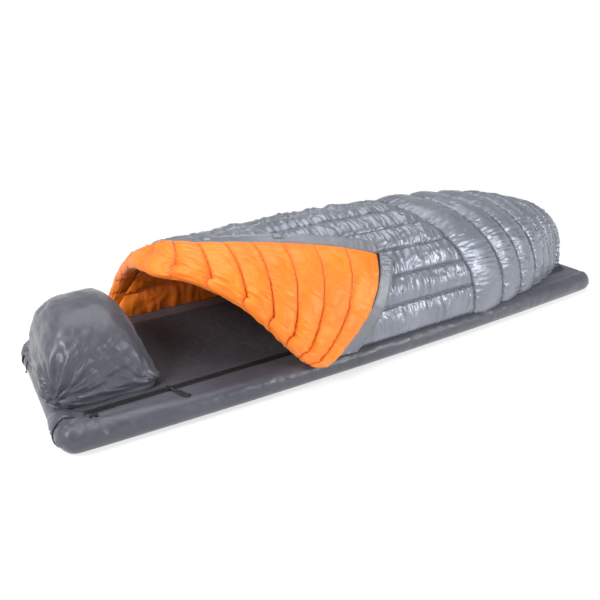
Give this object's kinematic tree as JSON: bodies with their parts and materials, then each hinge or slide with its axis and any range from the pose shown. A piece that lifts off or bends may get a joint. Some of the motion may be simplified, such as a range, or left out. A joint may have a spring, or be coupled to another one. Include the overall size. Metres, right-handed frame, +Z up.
{
  "type": "camp quilt",
  "caption": "Down camp quilt with a closed footbox laid over an air mattress with a pillow, one head corner folded back to show the bright lining.",
  "frame": {"origin": "on the floor under the centre of the air mattress", "axes": "+X runs from the head end to the foot end, +Y to the side away from the folded corner, +Z up"},
  "size_m": [1.9581, 0.6535, 0.3998],
  "materials": {
    "shell_fabric": "crinkled, semi-gloss downproof nylon",
    "lining_fabric": "crinkled, semi-gloss downproof nylon",
    "cover_fabric": "smooth satin polyester",
    "sheet_fabric": "matte brushed fabric",
    "hem_binding": "flat matte nylon",
    "black_trim": "woven black tape",
    "black_cord": "braided elastic cord",
    "black_plastic": "fine-textured plastic",
    "silicone": "soft matte silicone",
    "zip_metal": "dark nickel plating"
  },
  "bodies": {
    "mat": {"air_mattress": "cover_fabric", "mattress_sheet": "sheet_fabric", "valve_base": "silicone", "valve_membrane": "silicone", "zip_tape": "black_trim", "zip_chain": "black_trim", "corner_cord_near": "black_cord", "corner_cord_far_top": "black_cord", "corner_cord_far_end": "black_cord", "cord_tail": "black_cord", "cord_knot": "black_cord", "corner_tab_near": "black_trim", "corner_tab_far": "black_trim", "cord_lock_body": "black_plastic", "cord_lock_spring": "zip_metal", "pillow": "cover_fabric"},
    "quilt": {"chest_chamber_1": "shell_fabric", "chest_chamber_2": "shell_fabric", "chest_chamber_3": "shell_fabric", "chest_chamber_4": "shell_fabric", "chest_chamber_5": "shell_fabric", "chest_chamber_6": "shell_fabric", "chest_chamber_7": "shell_fabric", "chest_chamber_8": "shell_fabric", "chest_chamber_9": "shell_fabric", "chest_chamber_10": "shell_fabric", "chest_chamber_11": "shell_fabric", "foot_baffle_1": "shell_fabric", "foot_baffle_2": "shell_fabric", "foot_baffle_3": "shell_fabric", "foot_baffle_4": "shell_fabric", "foot_baffle_5": "shell_fabric", "foot_baffle_6": "shell_fabric", "foot_baffle_7": "shell_fabric", "foot_end": "shell_fabric", "fold_roll": "lining_fabric", "flap_chamber_1": "lining_fabric", "flap_chamber_2": "lining_fabric", "flap_chamber_3": "lining_fabric", "flap_chamber_4": "lining_fabric", "flap_chamber_5": "lining_fabric", "flap_chamber_6": "lining_fabric", "flap_chamber_7": "lining_fabric", "flap_chamber_8": "lining_fabric", "flap_chamber_9": "lining_fabric", "head_hem_band": "hem_binding", "side_hem_band": "hem_binding", "side_hem_zip": "black_trim"},
    "zip_slider": {"zip_slider": "zip_metal"},
    "zip_pull": {"zip_pull_tab": "zip_metal", "zip_pull_webbing": "black_trim"},
    "valve_cap": {"valve_cap": "black_plastic", "valve_cap_strap": "black_plastic"},
    "cord_lock_button": {"cord_lock_button": "black_plastic"}
  },
  "joints": [
    {"name": "quilt_lift", "type": "hinge", "parent": "mat", "child": "quilt", "pos_m": [0, 0.3, 0.0705], "axis": [-1, 0, 0], "range_deg": [0, 60]},
    {"name": "zip_travel", "type": "slide", "parent": "mat", "child": "zip_slider", "axis": [1, 0, 0], "range_m": [0, 0.28]},
    {"name": "pull_swing", "type": "hinge", "parent": "zip_slider", "child": "zip_pull", "pos_m": [-0.69, -0.215, 0.0755], "axis": [-0.866, -0.5, 0], "range_deg": [0, 100]},
    {"name": "valve_cap_hinge", "type": "hinge", "parent": "mat", "child": "valve_cap", "pos_m": [0.8755, 0.225, 0.0744], "axis": [0, 1, 0], "range_deg": [0, 150]},
    {"name": "cord_lock_press", "type": "slide", "parent": "mat", "child": "cord_lock_button", "axis": [0, -1, 0], "range_m": [0, 0.0035], "stiffness_N_per_m": 400, "springref_m": -0.004, "deforming": ["cord_lock_spring"]}
  ]
}
